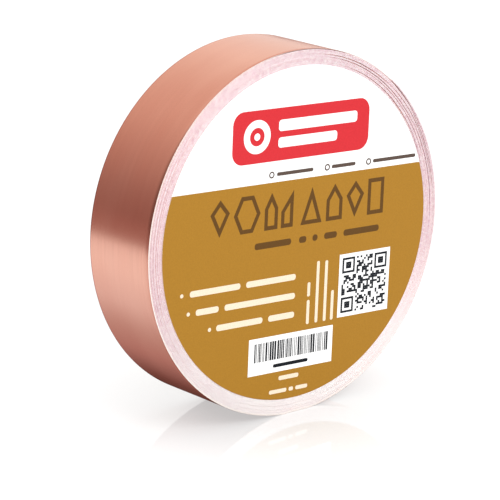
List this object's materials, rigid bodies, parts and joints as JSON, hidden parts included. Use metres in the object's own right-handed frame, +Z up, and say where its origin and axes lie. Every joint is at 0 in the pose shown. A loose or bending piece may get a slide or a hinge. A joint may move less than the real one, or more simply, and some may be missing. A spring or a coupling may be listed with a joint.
{
  "type": "copper foil tape roll",
  "caption": "Roll of adhesive-backed copper foil tape with a paper release liner, wound on a card core, with a round label on one end and a free end that lifts and peels.",
  "frame": {"origin": "middle of the roll's footprint, on the surface it stands on, directly below the roll's axis", "axes": "+Z up, +Y along the roll's axis, away from the labelled end, towards the open mouth of the core"},
  "size_m": [0.1015, 0.0255, 0.1012],
  "materials": {
    "copper_foil": "satin rolled copper",
    "adhesive": "clear tacky acrylic",
    "release_liner": "smooth coated paper",
    "core_board": "matt grey board",
    "core_paper": "matt kraft paper",
    "label_paper": "coated label paper"
  },
  "bodies": {
    "roll": {"core_inner_skin": "core_paper", "core_board_ply_1": "core_board", "core_board_ply_2": "core_board", "core_board_ply_3": "core_board", "core_board_ply_4": "core_board", "core_outer_skin": "core_paper", "release_liner_winding": "release_liner", "adhesive_winding": "adhesive", "copper_foil_winding": "copper_foil", "copper_foil_outer_wrap": "copper_foil", "label_adhesive": "adhesive", "label_paper": "label_paper"},
    "free_end_root": {"release_liner_root": "release_liner", "adhesive_root": "adhesive", "copper_foil_root": "copper_foil"},
    "free_end_outer": {"release_liner_end": "release_liner", "adhesive_middle": "adhesive", "copper_foil_middle": "copper_foil"},
    "foil_tip": {"adhesive_tip": "adhesive", "copper_foil_tip": "copper_foil"}
  },
  "joints": [
    {"name": "free_end_lift", "type": "hinge", "parent": "roll", "child": "free_end_root", "pos_m": [0.05085, 0, 0.05051], "axis": [0, 1, 0], "range_deg": [0, 40]},
    {"name": "free_end_uncurl", "type": "hinge", "parent": "free_end_root", "child": "free_end_outer", "pos_m": [0.04644, 0, 0.07121], "axis": [0, 1, 0], "range_deg": [0, 40]},
    {"name": "foil_peel", "type": "hinge", "parent": "free_end_outer", "child": "foil_tip", "pos_m": [0.04311, 0, 0.07748], "axis": [0, 1, 0], "range_deg": [0, 90]}
  ],
  "couplings": [
    {"joint": "free_end_uncurl", "follows": "free_end_lift", "ratio": 1}
  ]
}
